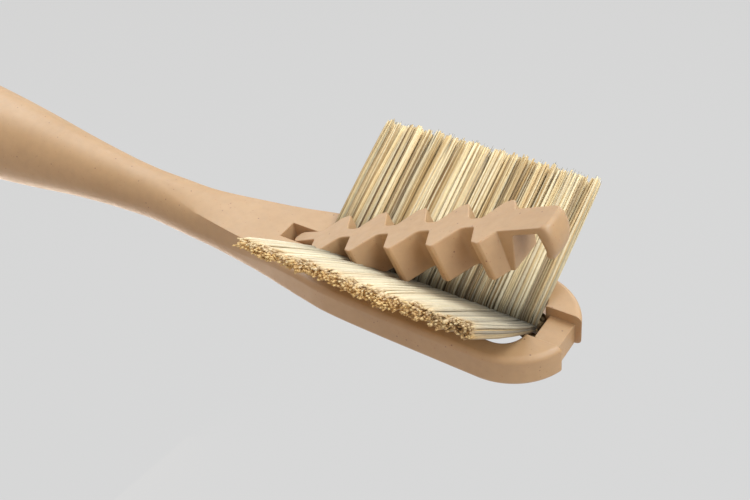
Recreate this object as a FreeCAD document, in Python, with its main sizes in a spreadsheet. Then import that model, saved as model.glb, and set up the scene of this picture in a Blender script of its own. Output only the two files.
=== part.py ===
"""Manual toothbrush with a replaceable bristle mat.

The head is a flat ring moulded in one piece with the handle. A toothed clamp bar is hinged
at the root of the ring and hooks over its end. The mat of plant fibre bristles is folded in
a V along a dark binding, lies over the ring and folds upright when the clamp is pressed down.
The model shows the brush with the clamp open, as in the photograph.

Each piece is drawn with X along the brush from the clamp's hinge towards the end of the head,
Y across it and Z up from the flat top of the ring. Every piece is then moved by the same
amount, so that the part's origin lies on the flat underside of the bar that closes the ring.
Lengths are in millimetres and angles in degrees.
"""
import FreeCAD
import Part
import Sketcher
import os

os.makedirs("parts", exist_ok=True)
doc = FreeCAD.newDocument("toothbrush")
sheet = doc.addObject("Spreadsheet::Sheet", "sizes")

# Driving sizes, one named value for each, grouped by the piece that they belong to.
SIZES = {
    # Ring of the head
    "head_half_width": 7.0,
    "head_thickness": 3.8,
    "head_side_length": 26.2,
    "head_end_length": 7.45,
    "head_edge_radius": 0.7,
    "arm_width": 2.3,
    "end_bar_width": 4.2,
    "opening_corner_radius": 2.7,
    # Root slot and end channel of the ring
    "slot_reach": 3.0,
    "slot_half_width": 1.3,
    "channel_half_width": 2.25,
    "channel_depth": 1.15,
    "end_setback": 1.15,
    "cut_overrun": 3.0,
    # Neck and handle
    "neck_length": 24.1,
    "neck_half_width": 3.24,
    "neck_thickness": 6.45,
    "neck_axis_depth": 2.08,
    "handle_length": 132.3,
    "grip_radius": 8.5,
    "grip_axis_depth": 1.6,
    # Hinge pin
    "pin_radius": 0.6,
    "pin_depth": 1.11,
    "pin_seat": 1.0,
    "pin_clearance": 0.06,
    # Clamp bar
    "open_angle": 24.33,
    "bar_height": 4.4,
    "bar_half_width": 0.85,
    "tail_reach": 1.35,
    "tail_radius": 0.8,
    "tooth_start": 2.42,
    "tooth_pitch": 5.83,
    "tooth_half_width": 3.5,
    "tooth_lead": 1.4,
    "tooth_flat": 0.95,
    "tooth_trail": 1.8,
    "tooth_root_radius": 1.2,
    "bar_end_clearance": 0.3,
    "roof_thickness": 0.8,
    "end_plate_half_width": 1.9,
    "end_plate_thickness": 0.65,
    "groove_start": 1.6,
    "groove_half_width": 0.4,
    "pocket_half_width": 1.0,
    "pocket_length": 2.35,
    # Hook at the clamp's end
    "hook_clearance": 0.5,
    "hook_thickness": 1.8,
    "hook_height": 4.4,
    "hook_corner_radius": 1.2,
    "hook_top_radius": 0.6,
    "lip_thickness": 0.4,
    "lip_height": 0.5,
    "lip_half_width": 1.4,
    # Bristle mat
    "bristle_length": 18.4,
    "crease_depth": 0.95,
    "crease_half_width": 0.2,
    "foot_half_gap": 0.55,
    "rear_lean": 69.0,
    "front_lean": 48.3,
    "rear_splay": -1.1,
    "front_splay": 1.5,
    "mat_side_clearance": 0.25,
    "lock_root_thickness": 0.6,
    "lock_foot_thickness": 0.5,
    "lock_tip_thickness": 1.6,
    "lock_gap": 0.12,
    "lock_inset": 0.1,
    "root_half_width": 0.9,
    "binding_end_clearance": 1.85,
    "binding_length": 10.0,
    "binding_half_width": 0.3,
    "binding_height": 0.6,
    "binding_drop": 0.2,
}
for row, (alias, number) in enumerate(SIZES.items(), start=1):
    sheet.set("A%d" % row, alias)
    sheet.set("B%d" % row, str(number))
    sheet.setAlias("B%d" % row, alias)
doc.recompute()

TOOTH_COUNT = 5
LOCK_COUNT = 9
# Locks that stand in the pockets between the clamp's teeth and so keep their roots
ROOTED_LOCKS = (5, 7)

# Places that several pieces share, written as expressions on the sheet
HEAD_END = "(sizes.head_side_length + sizes.head_end_length)"
OPENING_END = "(%s - sizes.end_bar_width)" % HEAD_END
SETBACK_FACE = "(%s - sizes.end_setback)" % HEAD_END
ORIGIN_X = "((%s + %s) / 2)" % (OPENING_END, SETBACK_FACE)
BAR_END = "(%s - sizes.bar_end_clearance)" % OPENING_END
HOOK_START = "(%s + sizes.hook_clearance)" % SETBACK_FACE
HOOK_END = "(%s + sizes.hook_thickness)" % HOOK_START
LOCK_PITCH = "(sizes.tooth_pitch / 2)"
LOCK_HALF_WIDTH = "((%s - sizes.lock_gap) / 2)" % LOCK_PITCH
FIRST_LOCK = "(sizes.tooth_start + sizes.tooth_lead + sizes.tooth_flat / 2)"
STAND_Y = "(sizes.tooth_half_width + sizes.mat_side_clearance + sizes.lock_root_thickness / 2)"
PIN_REACH = "(sizes.slot_half_width + sizes.pin_seat)"


def size(alias):
    """Return a driving size from the sheet as a number."""
    return float(sheet.get(alias))


def value(expression):
    """Work out an expression on the sheet as a number."""
    result = sheet.evalExpression(expression)
    return float(getattr(result, "Value", result))


def bind(piece, bindings):
    """Tie properties of a piece to expressions on the sheet."""
    for path, expression in bindings.items():
        piece.setExpression(path, expression)


def place(piece, x="0", y="0", z="0"):
    """Put a piece at its place, counted from the hinge, in the part's own frame."""
    bind(piece, {
        "Placement.Base.x": "%s - %s" % (x, ORIGIN_X),
        "Placement.Base.y": y,
        "Placement.Base.z": "%s + sizes.head_thickness" % z,
    })


def add(kind, name, bindings=None):
    """Add an object to the document, with its label and its bound sizes."""
    piece = doc.addObject(kind, name)
    piece.Label = name
    bind(piece, bindings or {})
    return piece


# Sides of the ring's head, seen from above. Each row holds the share of the side's length
# from the hinge and the half width as a share of the head's.
SIDE_SHARES = (
    (0.034, 0.815), (0.115, 0.860), (0.230, 0.929), (0.340, 0.957),
    (0.500, 0.975), (0.720, 0.987), (1.000, 1.000),
)


def side_curve(shares, inset, sign):
    """Return a smooth edge along one side of the ring, drawn in by an inset."""
    points = [
        FreeCAD.Vector(
            along * size("head_side_length"),
            sign * (across * size("head_half_width") - inset),
            0,
        )
        for along, across in shares
    ]
    curve = Part.BSplineCurve()
    first = points[1] - points[0]
    last = FreeCAD.Vector(points[-1].x - points[-2].x, 0, 0)
    curve.interpolate(Points=points, InitialTangent=first, FinalTangent=last)
    return curve.toShape()


def line(start, end):
    """Return a straight edge between two points given as pairs."""
    return Part.makeLine(FreeCAD.Vector(*start, 0), FreeCAD.Vector(*end, 0))


def corner(centre, radius, angle):
    """Return a quarter round edge about a centre, from an angle on."""
    upwards = FreeCAD.Vector(0, 0, 1)
    return Part.makeCircle(radius, FreeCAD.Vector(*centre, 0), upwards, angle, angle + 90)


def ring_plate():
    """Return the ring as a plate with an elliptic end, rounded rims and a flat cut end."""
    shares = SIDE_SHARES[1:]
    stretch = FreeCAD.Matrix()
    stretch.scale(size("head_end_length"), size("head_half_width"), 1)
    stretch.move(FreeCAD.Vector(size("head_side_length"), 0, 0))
    half_circle = Part.makeCircle(1, FreeCAD.Vector(), FreeCAD.Vector(0, 0, 1), -90, 90)
    end = half_circle.transformGeometry(stretch)
    start = shares[0][0] * size("head_side_length")
    half = shares[0][1] * size("head_half_width")
    edges = [
        side_curve(shares, 0, -1),
        *end.Edges,
        side_curve(shares, 0, 1),
        line((start, half), (start, -half)),
    ]
    wire = Part.Wire(Part.__sortEdges__(edges))
    plate = Part.Face(wire).extrude(FreeCAD.Vector(0, 0, -size("head_thickness")))
    slack = size("head_edge_radius") / 2
    rims = [
        edge for edge in plate.Edges
        if edge.BoundBox.ZLength < slack and edge.BoundBox.XMax > start + slack
    ]
    return plate.makeFillet(size("head_edge_radius"), rims)


def opening_cutter():
    """Return a prism that fills the ring's opening and reaches past both faces."""
    root = SIDE_SHARES[0][0] * size("head_side_length")
    root_half = SIDE_SHARES[0][1] * size("head_half_width") - size("arm_width")
    half = size("head_half_width") - size("arm_width")
    radius = size("opening_corner_radius")
    side = size("head_side_length")
    end = value(OPENING_END)
    edges = [
        side_curve(SIDE_SHARES, size("arm_width"), -1),
        line((side, -half), (end - radius, -half)),
        corner((end - radius, radius - half), radius, -90),
        line((end, radius - half), (end, half - radius)),
        corner((end - radius, half - radius), radius, 0),
        line((end - radius, half), (side, half)),
        side_curve(SIDE_SHARES, size("arm_width"), 1),
        line((root, root_half), (root, -root_half)),
    ]
    wire = Part.Wire(Part.__sortEdges__(edges))
    wire.translate(FreeCAD.Vector(0, 0, -size("head_thickness") - size("cut_overrun")))
    height = size("head_thickness") + 2 * size("cut_overrun")
    return Part.Face(wire).extrude(FreeCAD.Vector(0, 0, height))


# Neck, from the hinge to its narrowest place. Each row holds the share of the neck's
# length back from the hinge, the half width in neck half widths, how far the top stands
# above and the bottom below the flat top in neck thicknesses, and the radii of the top and
# the bottom edges in neck half widths.
NECK_SHARES = (
    (0.040, 1.650, 0.000, 0.667, 0.185, 0.460),
    (0.207, 1.404, 0.000, 0.736, 0.185, 0.590),
    (0.373, 1.235, 0.000, 0.790, 0.250, 0.710),
    (0.540, 1.096, 0.008, 0.822, 0.430, 0.830),
    (0.705, 1.043, 0.054, 0.834, 0.710, 0.920),
    (0.860, 1.012, 0.124, 0.829, 0.895, 0.950),
)
# Round handle. Each row holds the share of the handle's length back from the neck, and the
# radius and the depth of the axis, each as a share of the way from the neck's to the grip's.
HANDLE_SHARES = (
    (0.000, 0.000, 0.000), (0.027, 0.045, 0.250), (0.054, 0.090, 0.550),
    (0.110, 0.225, 0.900), (0.171, 0.422, 1.000), (0.232, 0.580, 1.000),
    (0.345, 0.790, 1.000), (0.500, 0.945, 1.000), (0.665, 1.000, 1.000),
    (0.840, 0.960, 1.000), (0.940, 0.850, 1.000), (0.978, 0.640, 1.000),
    (0.995, 0.330, 1.000), (1.000, 0.020, 1.000),
)
# Largest radius of a section's edges, as a share of the section's smaller half size
SECTION_ROUND_SHARE = 0.97


def section(x, half_width, top, bottom, top_radius, bottom_radius):
    """Return a cross section: a box with two round top edges and two round bottom edges."""
    limit = min(half_width, (top - bottom) / 2) * SECTION_ROUND_SHARE
    upper = min(top_radius, limit)
    lower = min(bottom_radius, limit)

    def at(y, z):
        return FreeCAD.Vector(x, y, z)

    def arc(y, z, radius, sign_y, sign_z, start_side):
        bend = radius / 2 ** 0.5
        side = at(y + sign_y * radius, z)
        cap = at(y, z + sign_z * radius)
        middle = at(y + sign_y * bend, z + sign_z * bend)
        ends = (side, cap) if start_side else (cap, side)
        return Part.Arc(ends[0], middle, ends[1]).toShape()

    wide_up = half_width - upper
    wide_low = half_width - lower
    edges = [
        Part.makeLine(at(-wide_up, top), at(wide_up, top)),
        arc(wide_up, top - upper, upper, 1, 1, False),
        Part.makeLine(at(half_width, top - upper), at(half_width, bottom + lower)),
        arc(wide_low, bottom + lower, lower, 1, -1, True),
        Part.makeLine(at(wide_low, bottom), at(-wide_low, bottom)),
        arc(-wide_low, bottom + lower, lower, -1, -1, False),
        Part.makeLine(at(-half_width, bottom + lower), at(-half_width, top - upper)),
        arc(-wide_up, top - upper, upper, -1, 1, True),
    ]
    return Part.Wire(edges)


def neck_and_handle(plate):
    """Return the neck and the handle as one smooth body that starts at the plate's cut end."""
    cut_end = min(plate.Faces, key=lambda face: face.BoundBox.XMax)
    wires = [cut_end.OuterWire]
    neck = size("neck_half_width")
    thickness = size("neck_thickness")
    for along, across, top, bottom, upper, lower in NECK_SHARES:
        x = -along * size("neck_length")
        ends = (top * thickness, -bottom * thickness)
        wires.append(section(x, across * neck, *ends, upper * neck, lower * neck))
    for along, growth, drop in HANDLE_SHARES:
        radius = neck + growth * (size("grip_radius") - neck)
        depth = (1 - drop) * size("neck_axis_depth") + drop * size("grip_axis_depth")
        x = -size("neck_length") - along * size("handle_length")
        wires.append(section(x, radius, radius - depth, -radius - depth, radius, radius))
    return Part.makeLoft(wires, True, False)


def lay_along_y(cylinder):
    """Turn an upright cylinder so that it runs against Y from its own place."""
    base = cylinder.Placement.Base
    cylinder.Placement = FreeCAD.Placement(base, FreeCAD.Rotation(FreeCAD.Vector(1, 0, 0), 90))


def add_handle():
    """Add the handle: ring, neck and grip in one moulding, with its cuts."""
    plate = add("Part::Feature", "ring_plate")
    plate.Shape = ring_plate()
    body = add("Part::Feature", "neck_and_handle")
    body.Shape = neck_and_handle(plate.Shape)
    blank = add("Part::MultiFuse", "handle_blank")
    blank.Shapes = [plate, body]
    opening = add("Part::Feature", "opening_cutter")
    opening.Shape = opening_cutter()
    whole_height = "sizes.head_thickness + sizes.neck_thickness + 2 * sizes.cut_overrun"
    below = "-sizes.neck_thickness - sizes.cut_overrun"
    slot = add("Part::Box", "slot_cutter", {
        "Length": "sizes.slot_reach + sizes.cut_overrun",
        "Width": "2 * sizes.slot_half_width",
        "Height": whole_height,
        "Placement.Base.x": "-sizes.slot_reach",
        "Placement.Base.y": "-sizes.slot_half_width",
        "Placement.Base.z": below,
    })
    channel = add("Part::Box", "channel_cutter", {
        "Length": "sizes.end_bar_width + 2 * sizes.cut_overrun",
        "Width": "2 * sizes.channel_half_width",
        "Height": "sizes.channel_depth + sizes.cut_overrun",
        "Placement.Base.x": "%s - sizes.cut_overrun" % OPENING_END,
        "Placement.Base.y": "-sizes.channel_half_width",
        "Placement.Base.z": "-sizes.channel_depth",
    })
    setback = add("Part::Box", "setback_cutter", {
        "Length": "sizes.end_setback + sizes.cut_overrun",
        "Width": "2 * sizes.channel_half_width",
        "Height": whole_height,
        "Placement.Base.x": SETBACK_FACE,
        "Placement.Base.y": "-sizes.channel_half_width",
        "Placement.Base.z": below,
    })
    bore = add("Part::Cylinder", "pin_seat_cutter", {
        "Radius": "sizes.pin_radius",
        "Height": "2 * %s" % PIN_REACH,
        "Placement.Base.y": PIN_REACH,
        "Placement.Base.z": "-sizes.pin_depth",
    })
    lay_along_y(bore)
    cuts = add("Part::MultiFuse", "handle_cuts")
    cuts.Shapes = [opening, slot, channel, setback, bore]
    handle = add("Part::Cut", "handle")
    handle.Base = blank
    handle.Tool = cuts
    place(handle)
    return handle


def add_hinge_pin():
    """Add the pin that the clamp turns on, seated in the walls of the root slot."""
    pin = add("Part::Cylinder", "hinge_pin", {
        "Radius": "sizes.pin_radius",
        "Height": "2 * %s" % PIN_REACH,
    })
    lay_along_y(pin)
    place(pin, y=PIN_REACH, z="-sizes.pin_depth")
    return pin


def origin_item(body, role):
    """Return one of a body's own origin planes or axes, in the form that links take."""
    return (next(item for item in body.Origin.OriginFeatures if item.Role == role), [""])


def new_sketch(body, name, role):
    """Add an empty sketch on one of a body's own origin planes."""
    sketch = body.newObject("Sketcher::SketchObject", name)
    sketch.AttachmentSupport = origin_item(body, role)
    sketch.MapMode = "FlatFace"
    return sketch


def constrain(sketch, kind, items, number, expression):
    """Add a constraint with a size to a sketch and bind it to an expression."""
    made = sketch.addConstraint(Sketcher.Constraint(kind, *items, number))
    sketch.setExpression("Constraints[%d]" % made, expression)


def outline(body, name, corners):
    """Add a flat sketch of straight edges, its corners bound to pairs of expressions."""
    sketch = new_sketch(body, name, "XY_Plane")
    spots = [FreeCAD.Vector(value(x), value(y), 0) for x, y in corners]
    count = len(corners)
    for index, spot in enumerate(spots):
        sketch.addGeometry(Part.LineSegment(spot, spots[(index + 1) % count]))
    for index in range(count):
        sketch.addConstraint(Sketcher.Constraint("Coincident", index, 2, (index + 1) % count, 1))
    for index, (x, y) in enumerate(corners):
        items = (-1, 1, index, 1)
        constrain(sketch, "DistanceX", items, spots[index].x, x)
        constrain(sketch, "DistanceY", items, spots[index].y, y)
    return sketch


def both_sides(far):
    """Return the corners of an outline whose near side mirrors the far side given."""
    near = [(x, "-(%s)" % half_width) for x, half_width in far]
    return near + far[::-1]


def rectangle(start, end, half_width):
    """Return the corners of a rectangle that lies evenly about the brush's centre line."""
    return both_sides([(start, half_width), (end, half_width)])


def pad(body, name, corners, length):
    """Pad an outline of a body downwards from the flat top by a bound length."""
    feature = body.newObject("PartDesign::Pad", name)
    feature.Profile = outline(body, name + "_outline", corners)
    feature.Reversed = True
    bind(feature, {"Length": length})
    return feature


def pocket(body, name, corners, roof):
    """Cut an outline out of a body from below, up to a roof of a bound thickness."""
    feature = body.newObject("PartDesign::Pocket", name)
    sketch = outline(body, name + "_outline", corners)
    bind(sketch, {"AttachmentOffset.Base.z": "-(%s)" % roof})
    feature.Profile = sketch
    bind(feature, {"Length": "sizes.hook_height + sizes.cut_overrun"})
    return feature


def upright_edges(feature, x, y):
    """Name the upright edges of a feature that stand at a place or at its mirror place."""
    slack = size("tail_radius") / 4
    names = []
    for number, edge in enumerate(feature.Shape.Edges, start=1):
        box = edge.BoundBox
        if box.XLength + box.YLength < slack and box.ZLength > slack:
            if abs(box.XMin - x) < slack and abs(abs(box.YMin) - y) < slack:
                names.append("Edge%d" % number)
    return names


def round_edges(body, name, base, names, radius):
    """Round named edges of the feature that stands last in a body."""
    feature = body.newObject("PartDesign::Fillet", name)
    feature.Base = (base, names)
    bind(feature, {"Radius": radius})
    return feature


def add_teeth(body):
    """Add the row of teeth on both sides of the clamp's spine, with round valleys."""
    lead = "sizes.tooth_start + sizes.tooth_lead"
    flat = lead + " + sizes.tooth_flat"
    trail = flat + " + sizes.tooth_trail"
    tooth = pad(body, "tooth", both_sides([
        ("sizes.tooth_start", "sizes.bar_half_width"),
        (lead, "sizes.tooth_half_width"),
        (flat, "sizes.tooth_half_width"),
        (trail, "sizes.bar_half_width"),
    ]), "sizes.bar_height")
    teeth = body.newObject("PartDesign::LinearPattern", "teeth")
    teeth.Originals = [tooth]
    teeth.Direction = origin_item(body, "X_Axis")
    teeth.Occurrences = TOOTH_COUNT
    bind(teeth, {"Length": "sizes.tooth_pitch * %d" % (TOOTH_COUNT - 1)})
    body.Tip = teeth
    doc.recompute()
    names = []
    for index in range(TOOTH_COUNT - 1):
        x = value(trail) + index * size("tooth_pitch")
        names += upright_edges(teeth, x, size("bar_half_width"))
    round_edges(body, "flank_rounds", teeth, names, "sizes.tooth_root_radius")
    doc.recompute()


def rim_edges(feature, end):
    """Name the edges of the flat top that run round the hook's outer end."""
    slack = size("hook_top_radius") / 4
    names = []
    for number, edge in enumerate(feature.Shape.Edges, start=1):
        box = edge.BoundBox
        flat = abs(box.ZMax) < slack and box.ZLength < slack
        if flat and box.XMax > end - size("hook_corner_radius") - slack:
            names.append("Edge%d" % number)
    return names


def add_hook(body):
    """Add the end plate with the hook, and hollow the bar out from below."""
    plate = pad(body, "end_plate", rectangle(
        "%s - sizes.tooth_trail" % BAR_END, HOOK_END, "sizes.end_plate_half_width",
    ), "sizes.hook_height")
    doc.recompute()
    corners = upright_edges(plate, value(HOOK_END), size("end_plate_half_width"))
    round_edges(body, "hook_corners", plate, corners, "sizes.hook_corner_radius")
    past_hollow = "%s + sizes.hook_clearance" % BAR_END
    pocket(body, "window", rectangle(
        BAR_END, HOOK_START, "sizes.tooth_half_width + sizes.cut_overrun",
    ), "sizes.end_plate_thickness")
    pocket(body, "groove", rectangle(
        "sizes.groove_start", past_hollow, "sizes.groove_half_width",
    ), "sizes.roof_thickness")
    last = pocket(body, "last_pocket", rectangle(
        "%s - sizes.pocket_length" % BAR_END, past_hollow, "sizes.pocket_half_width",
    ), "sizes.roof_thickness")
    doc.recompute()
    round_edges(body, "hook_top", last, rim_edges(last, value(HOOK_END)), "sizes.hook_top_radius")
    lip = pad(body, "lip", rectangle(
        "%s - sizes.lip_thickness" % HOOK_START,
        "%s + sizes.lip_thickness" % HOOK_START,
        "sizes.lip_half_width",
    ), "sizes.lip_height")
    bind(lip.Profile[0], {"AttachmentOffset.Base.z": "sizes.lip_height - sizes.hook_height"})


def add_bore(body):
    """Cut the bore that turns on the hinge pin through the clamp's tail."""
    sketch = new_sketch(body, "bore_outline", "XZ_Plane")
    centre = FreeCAD.Vector(0, -size("pin_depth"), 0)
    radius = size("pin_radius") + size("pin_clearance")
    sketch.addGeometry(Part.Circle(centre, FreeCAD.Vector(0, 0, 1), radius))
    sketch.addConstraint(Sketcher.Constraint("PointOnObject", 0, 3, -2))
    constrain(sketch, "DistanceY", (-1, 1, 0, 3), centre.y, "-sizes.pin_depth")
    constrain(sketch, "Radius", (0,), radius, "sizes.pin_radius + sizes.pin_clearance")
    bore = body.newObject("PartDesign::Pocket", "bore")
    bore.Profile = sketch
    bore.Midplane = True
    bind(bore, {"Length": "2 * sizes.tooth_half_width"})


def lift(body):
    """Turn the clamp about its hinge pin from shut to open."""
    turn = FreeCAD.Rotation(FreeCAD.Vector(0, -1, 0), size("open_angle"))
    body.Placement = FreeCAD.Placement(FreeCAD.Vector(), turn)
    bind(body, {"Placement.Rotation.Angle": "sizes.open_angle"})
    place(body, x="-sizes.pin_depth * sin(sizes.open_angle)",
          z="-sizes.pin_depth * (1 - cos(sizes.open_angle))")


def add_clamp_bar():
    """Add the clamp bar, drawn shut and then lifted about its hinge."""
    body = add("PartDesign::Body", "clamp_bar")
    spine = pad(body, "spine", rectangle(
        "-sizes.tail_reach", BAR_END, "sizes.bar_half_width",
    ), "sizes.bar_height")
    doc.recompute()
    corners = upright_edges(spine, -size("tail_reach"), size("bar_half_width"))
    round_edges(body, "tail_round", spine, corners, "sizes.tail_radius")
    add_teeth(body)
    add_hook(body)
    add_bore(body)
    lift(body)
    return body


def add_binding():
    """Add the dark strip that binds the roots of the bristles along the crease."""
    binding = add("Part::Box", "crease_binding", {
        "Length": "sizes.binding_length",
        "Width": "2 * sizes.binding_half_width",
        "Height": "sizes.binding_height",
    })
    place(binding,
          x="%s - sizes.binding_end_clearance - sizes.binding_length" % OPENING_END,
          y="-sizes.binding_half_width",
          z="-sizes.crease_depth - sizes.binding_drop - sizes.binding_height")
    return binding


def taper(name, start, end, half_width, start_thickness, end_thickness, shift="0"):
    """Add a slab along Y that grows thicker towards its end, which may lie to one side."""
    return add("Part::Wedge", name, {
        "Ymin": start,
        "Ymax": end,
        "Xmin": "-" + half_width,
        "Xmax": half_width,
        "X2min": "%s - %s" % (shift, half_width),
        "X2max": "%s + %s" % (shift, half_width),
        "Zmin": "-%s / 2" % start_thickness,
        "Zmax": "%s / 2" % start_thickness,
        "Z2min": "-%s / 2" % end_thickness,
        "Z2max": "%s / 2" % end_thickness,
    })


def add_tufts(side, sign):
    """Add one fan of the mat as a row of tufts that stand on the line they fold about."""
    lean = "sizes.%s_lean" % side
    across = "(%s - sizes.crease_half_width)" % STAND_Y
    outer = "sizes.bristle_length - %s / sin(%s)" % (across, lean)
    height = "%s / tan(%s) - sizes.crease_depth" % (across, lean)
    foot = "-(%s - sizes.foot_half_gap) / sin(%s)" % (STAND_Y, lean)
    angle = "90 - %s" % lean if sign > 0 else "90 + %s" % lean
    tufts = []
    for index in range(LOCK_COUNT):
        name = "%s_tuft_%d" % (side, index + 1)
        rooted = index in ROOTED_LOCKS
        shaft = taper(name + "_shaft" if rooted else name,
                      "-sizes.lock_inset", outer, LOCK_HALF_WIDTH,
                      "sizes.lock_root_thickness", "sizes.lock_tip_thickness",
                      "sizes.%s_splay" % side)
        tuft = shaft
        if rooted:
            root = taper(name + "_root", foot, "0", "sizes.root_half_width",
                         "sizes.lock_foot_thickness", "sizes.lock_root_thickness")
            tuft = add("Part::MultiFuse", name)
            tuft.Shapes = [shaft, root]
        turn = FreeCAD.Rotation(FreeCAD.Vector(1, 0, 0), value(angle))
        tuft.Placement = FreeCAD.Placement(FreeCAD.Vector(), turn)
        bind(tuft, {"Placement.Rotation.Angle": angle})
        place(tuft, x="%s + %d * %s" % (FIRST_LOCK, index, LOCK_PITCH),
              y=STAND_Y if sign > 0 else "-" + STAND_Y, z=height)
        tufts.append(tuft)
    return tufts


pieces = [add_handle(), add_hinge_pin(), add_clamp_bar(), add_binding()]
pieces += add_tufts("rear", 1)
pieces += add_tufts("front", -1)
doc.recompute()

failed = [item.Name for item in doc.Objects if "Invalid" in item.State or "Error" in item.State]
failed += [piece.Label for piece in pieces if piece.Shape.isNull() or not piece.Shape.isValid()]
if failed:
    raise RuntimeError("These objects didn't build: " + ", ".join(failed))
for piece in pieces:
    piece.Shape.exportStep("parts/%s.step" % piece.Label)
    print(piece.Label, len(piece.Shape.Solids), round(piece.Shape.Volume, 2))
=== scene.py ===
# %% [markdown]
# # A toothbrush with a hinged clamp and a folded bristle mat
#
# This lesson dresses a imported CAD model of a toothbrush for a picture. The model brings the
# true sizes, the joints and the names of the pieces. Here each visible piece gets the soft
# edges, the fibres and the finish that a plain solid lacks. All sizes are in millimetres
# while a shape is worked out, and become metres in the part's own frame at the very end.

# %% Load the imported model
import math
from types import SimpleNamespace

import bmesh
import bpy
import numpy as np
from mathutils import Matrix, Vector


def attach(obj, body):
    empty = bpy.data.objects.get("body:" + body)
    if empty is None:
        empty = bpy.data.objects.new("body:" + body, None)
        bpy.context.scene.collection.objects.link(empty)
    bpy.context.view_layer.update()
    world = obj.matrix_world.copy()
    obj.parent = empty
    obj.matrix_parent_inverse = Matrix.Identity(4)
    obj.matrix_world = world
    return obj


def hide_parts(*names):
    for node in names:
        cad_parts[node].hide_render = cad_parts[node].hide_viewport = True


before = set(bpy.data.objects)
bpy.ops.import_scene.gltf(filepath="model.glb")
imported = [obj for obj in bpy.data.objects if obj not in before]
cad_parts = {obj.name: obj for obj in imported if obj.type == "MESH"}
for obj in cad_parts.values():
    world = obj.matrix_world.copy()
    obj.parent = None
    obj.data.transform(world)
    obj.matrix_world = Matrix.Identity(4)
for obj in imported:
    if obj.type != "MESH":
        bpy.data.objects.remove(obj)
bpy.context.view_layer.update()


# %% [markdown]
# ## Camera
# The picture was taken from above and in front of the brush, quite close, so the handle
# grows towards the lens. A camera is a place and three directions. The view's direction comes
# from a yaw and a pitch, and a small roll turns the picture about it.

# %% Camera
HINGE_PLACE = np.array([-30.975, 0.0, 3.8])


def to_frame(point):
    """Move a point drawn from the hinge in millimetres to the part's frame in metres."""
    return (np.asarray(point, dtype=float) + HINGE_PLACE) / 1000


def add_object(name, data):
    """Make an object from its data and put it in the scene."""
    made = bpy.data.objects.new(name, data)
    bpy.context.collection.objects.link(made)
    return made


YAW, PITCH, ROLL = -0.6839, 0.7010, -0.1409
CAMERA_PLACE = [63.49, -65.99, 73.58]
ahead = np.array([
    math.cos(PITCH) * math.sin(YAW), math.cos(PITCH) * math.cos(YAW), -math.sin(PITCH),
])
level = np.array([math.cos(YAW), -math.sin(YAW), 0.0])
over = np.cross(level, ahead)
right = math.cos(ROLL) * level + math.sin(ROLL) * over
upward = math.cos(ROLL) * over - math.sin(ROLL) * level
lens = bpy.data.cameras.new("camera")
lens.lens = 48.8
lens.sensor_width = 36.0
lens.clip_start = 0.004
camera = add_object("camera", lens)
turn = Matrix([[right[i], upward[i], -ahead[i]] for i in range(3)])
camera.matrix_world = Matrix.Translation(Vector(to_frame(CAMERA_PLACE))) @ turn.to_4x4()
bpy.context.scene.camera = camera
print("camera at", tuple(round(v, 4) for v in camera.location))

# %% [markdown]
# ## Meshes from arrays
# A surface is a grid of points: one direction runs along the piece and the other round it.
# Numpy computes the whole grid at once, and the mesh takes it as flat lists of numbers.

# %% Helpers that turn arrays into meshes


def grid_faces(rows, columns, start=0):
    """Quads of a grid whose rows are closed loops: (i, j), (i, j+1), (i+1, j+1), (i+1, j)."""
    i, j = np.meshgrid(np.arange(rows - 1), np.arange(columns), indexing="ij")
    here = i * columns + j
    beside = i * columns + (j + 1) % columns
    quads = np.stack([here, beside, beside + columns, here + columns], -1)
    return quads.reshape(-1, 4) + start


def add_piece(name, points, quads, caps=()):
    """Make a mesh object from points in millimetres, an array of quads and larger faces."""
    mesh = bpy.data.meshes.new(name)
    mesh.vertices.add(len(points))
    mesh.vertices.foreach_set("co", np.asarray(points, dtype=np.float32).ravel())
    corners = np.concatenate([np.asarray(quads).ravel()] + [np.asarray(cap) for cap in caps])
    totals = np.array([4] * len(quads) + [len(cap) for cap in caps])
    mesh.loops.add(len(corners))
    mesh.loops.foreach_set("vertex_index", corners.astype(np.int32))
    mesh.polygons.add(len(totals))
    mesh.polygons.foreach_set("loop_start", (np.cumsum(totals) - totals).astype(np.int32))
    mesh.update(calc_edges=True)
    mesh.validate()
    return add_object(name, mesh)


def weld(piece, distance=1e-4):
    """Merge doubled points and turn every face outwards."""
    shape = bmesh.new()
    shape.from_mesh(piece.data)
    bmesh.ops.remove_doubles(shape, verts=shape.verts, dist=distance)
    bmesh.ops.recalc_face_normals(shape, faces=shape.faces)
    shape.to_mesh(piece.data)
    shape.free()


def add_stack(name, loops):
    """Make a closed mesh from an array of (loop, place round it, x y z), with both ends shut."""
    rings, around = loops.shape[:2]
    first = np.arange(around)
    piece = add_piece(name, loops.reshape(-1, 3), grid_faces(rings, around),
                      [first[::-1], first + (rings - 1) * around])
    weld(piece)
    return piece


def add_tubes(name, points, inside_out=False):
    """Make a mesh of shut tubes from an array of (tube, ring, place round it, x y z).

    Inside out turns every face over, for rings that run the other way round.
    """
    count, rings, sides = points.shape[:3]
    starts = np.arange(count)[:, None, None] * rings * sides
    quads = (grid_faces(rings, sides)[None] + starts).reshape(-1, 4)
    first = starts[:, 0] + np.arange(sides)
    ends = np.concatenate([first[:, ::-1], first + (rings - 1) * sides])
    if inside_out:
        quads, ends = quads[:, ::-1], ends[:, ::-1]
    return add_piece(name, points.reshape(-1, 3), quads, list(ends))


def even_turn(count):
    """Angles of places spaced evenly round a circle."""
    return np.linspace(0, 2 * math.pi, count, endpoint=False)


def relax(rows, rounds):
    """Average each row with its neighbours, (before + 2 x itself + after) / 4, in rounds."""
    for _ in range(rounds):
        rows[1:-1] = (rows[:-2] + 2 * rows[1:-1] + rows[2:]) / 4
    return rows


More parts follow.
